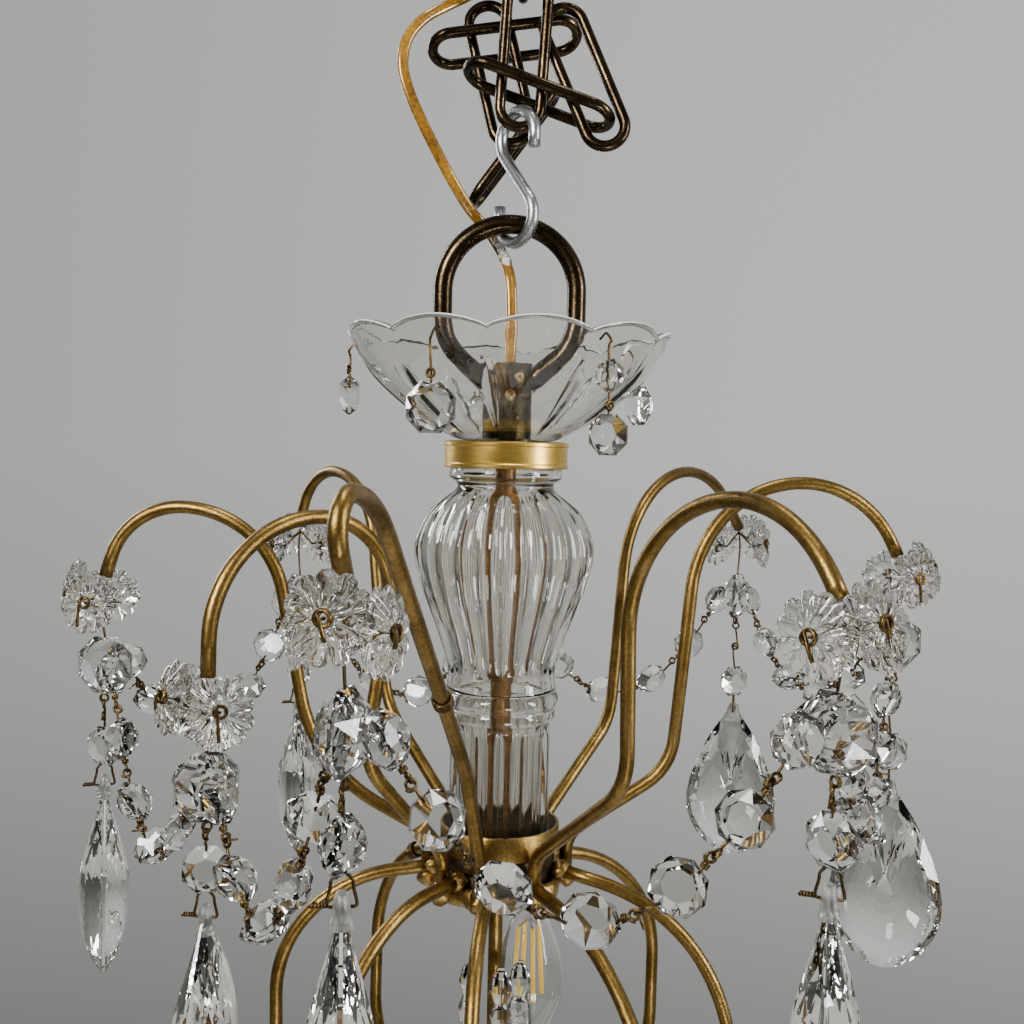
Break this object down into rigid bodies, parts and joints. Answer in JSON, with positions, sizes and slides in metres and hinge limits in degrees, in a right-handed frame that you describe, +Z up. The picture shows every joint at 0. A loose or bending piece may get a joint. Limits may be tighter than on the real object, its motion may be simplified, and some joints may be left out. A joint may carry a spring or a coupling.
{
  "type": "crystal chandelier",
  "caption": "Hanging light of gilt brass arms round a fluted glass stem, with cut glass drops, bead garlands, a glass bowl and a candle lamp",
  "frame": {"origin": "middle of the flat face of the ceiling plate that rests on the ceiling", "axes": "+Z up into the ceiling, -Y is the front, +X is to the right seen from the front"},
  "size_m": [0.4185, 0.4066, 0.607],
  "materials": {
    "bronze": "worn dark bronze lacquer on steel",
    "zinc": "dull galvanised",
    "gilt": "antique gilt, dark in the recesses and bright where worn",
    "satin_gold": "satin gold",
    "glass": "clear moulded glass",
    "crystal": "clear cut crystal",
    "bulb_glass": "thin clear blown glass",
    "pin_wire": "tarnished brass wire",
    "flex": "clear amber insulation over copper strands"
  },
  "bodies": {
    "ceiling": {"ceiling_plate": "bronze", "ceiling_eye": "bronze"},
    "chain": {"chain_link_1": "bronze", "chain_link_2": "bronze", "chain_link_3": "bronze", "chain_link_4": "bronze", "chain_link_5": "bronze", "chain_link_6": "bronze", "s_hook": "zinc", "flex_upper": "flex"},
    "fixture": {"hanging_ring": "bronze", "flex_lower": "flex", "boss": "bronze", "boss_screws": "zinc", "bowl": "glass", "collar": "satin_gold", "baluster": "glass", "column": "glass", "centre_rod": "gilt", "hub_cup": "gilt", "hub_ring": "gilt", "upper_arm_1": "gilt", "upper_arm_2": "gilt", "upper_arm_3": "gilt", "upper_arm_4": "gilt", "upper_arm_5": "gilt", "upper_arm_6": "gilt", "upper_arm_7": "gilt", "upper_arm_8": "gilt", "lower_arm_1": "gilt", "lower_arm_2": "gilt", "lower_arm_3": "gilt", "lower_arm_4": "gilt", "lower_arm_5": "gilt", "lower_arm_6": "gilt", "lower_arm_7": "gilt", "lower_arm_8": "gilt", "stem": "gilt", "rosettes": "crystal", "rosette_pins": "pin_wire", "garland_beads": "crystal", "garland_links": "pin_wire", "lamp_plate": "gilt", "finial": "gilt", "lamp_holder": "bronze"},
    "bulb": {"bulb": "bulb_glass"},
    "pendalogue_1": {"pendalogue_1": "crystal"},
    "pendalogue_2": {"pendalogue_2": "crystal"},
    "pendalogue_3": {"pendalogue_3": "crystal"},
    "pendalogue_4": {"pendalogue_4": "crystal"},
    "pendalogue_5": {"pendalogue_5": "crystal"},
    "pendalogue_6": {"pendalogue_6": "crystal"},
    "pendalogue_7": {"pendalogue_7": "crystal"},
    "pendalogue_8": {"pendalogue_8": "crystal"},
    "bowl_drop_1": {"bowl_drop_1": "glass"},
    "bowl_drop_2": {"bowl_drop_2": "glass"},
    "bowl_drop_3": {"bowl_drop_3": "glass"},
    "bowl_drop_4": {"bowl_drop_4": "glass"},
    "bowl_drop_5": {"bowl_drop_5": "glass"}
  },
  "joints": [
    {"name": "chain_swing", "type": "hinge", "parent": "ceiling", "child": "chain", "pos_m": [0, 0, -0.032], "axis": [0, 1, 0], "range_deg": [-6, 6]},
    {"name": "fixture_swing", "type": "hinge", "parent": "chain", "child": "fixture", "pos_m": [0, 0, -0.141], "axis": [1, 0, 0], "range_deg": [-5, 5]},
    {"name": "pendalogue_1_swing", "type": "hinge", "parent": "fixture", "child": "pendalogue_1", "pos_m": [-0.1818, 0.00317, -0.3574], "axis": [-0.0175, -0.9998, 0], "range_deg": [-10, 10]},
    {"name": "pendalogue_2_swing", "type": "hinge", "parent": "fixture", "child": "pendalogue_2", "pos_m": [-0.11818, 0.14084, -0.34146], "axis": [-0.766, -0.6428, 0], "range_deg": [-10, 10]},
    {"name": "pendalogue_3_swing", "type": "hinge", "parent": "fixture", "child": "pendalogue_3", "pos_m": [-0.1081, -0.09733, -0.38282], "axis": [0.6691, -0.7431, 0], "range_deg": [-10, 10]},
    {"name": "pendalogue_4_swing", "type": "hinge", "parent": "fixture", "child": "pendalogue_4", "pos_m": [-0.04393, -0.19029, -0.3383], "axis": [0.9744, -0.225, 0], "range_deg": [-10, 5]},
    {"name": "pendalogue_5_swing", "type": "hinge", "parent": "fixture", "child": "pendalogue_5", "pos_m": [0.13888, 0.16551, -0.33813], "axis": [-0.766, 0.6428, 0], "range_deg": [-10, 10]},
    {"name": "pendalogue_6_swing", "type": "hinge", "parent": "fixture", "child": "pendalogue_6", "pos_m": [0.1036, -0.17242, -0.33957], "axis": [0.8572, 0.515, 0], "range_deg": [-10, 10]},
    {"name": "pendalogue_7_swing", "type": "hinge", "parent": "fixture", "child": "pendalogue_7", "pos_m": [0.18726, 0.02632, -0.34167], "axis": [-0.1392, 0.9903, 0], "range_deg": [-10, 10]},
    {"name": "pendalogue_8_swing", "type": "hinge", "parent": "fixture", "child": "pendalogue_8", "pos_m": [0, 0.13931, -0.35249], "axis": [-1, 0, 0], "range_deg": [-10, 10]},
    {"name": "bowl_drop_1_swing", "type": "hinge", "parent": "fixture", "child": "bowl_drop_1", "pos_m": [-0.07246, 0.0089, -0.191], "axis": [-0.1219, -0.9925, 0], "range_deg": [-25, 3]},
    {"name": "bowl_drop_2_swing", "type": "hinge", "parent": "fixture", "child": "bowl_drop_2", "pos_m": [-0.02969, -0.06669, -0.191], "axis": [0.9136, -0.4067, 0], "range_deg": [-25, 3]},
    {"name": "bowl_drop_3_swing", "type": "hinge", "parent": "fixture", "child": "bowl_drop_3", "pos_m": [0.04082, -0.06052, -0.191], "axis": [0.829, 0.5592, 0], "range_deg": [-25, 3]},
    {"name": "bowl_drop_4_swing", "type": "hinge", "parent": "fixture", "child": "bowl_drop_4", "pos_m": [0.06322, 0.0365, -0.191], "axis": [-0.5, 0.866, 0], "range_deg": [-25, 3]},
    {"name": "bowl_drop_5_swing", "type": "hinge", "parent": "fixture", "child": "bowl_drop_5", "pos_m": [-0.01518, 0.0714, -0.191], "axis": [-0.9781, -0.2079, 0], "range_deg": [-25, 3]},
    {"name": "bulb_turn", "type": "hinge", "parent": "fixture", "child": "bulb", "pos_m": [0.01597, 0.02657, -0.53], "axis": [0, 0, 1], "range_deg": [0, 360]}
  ]
}
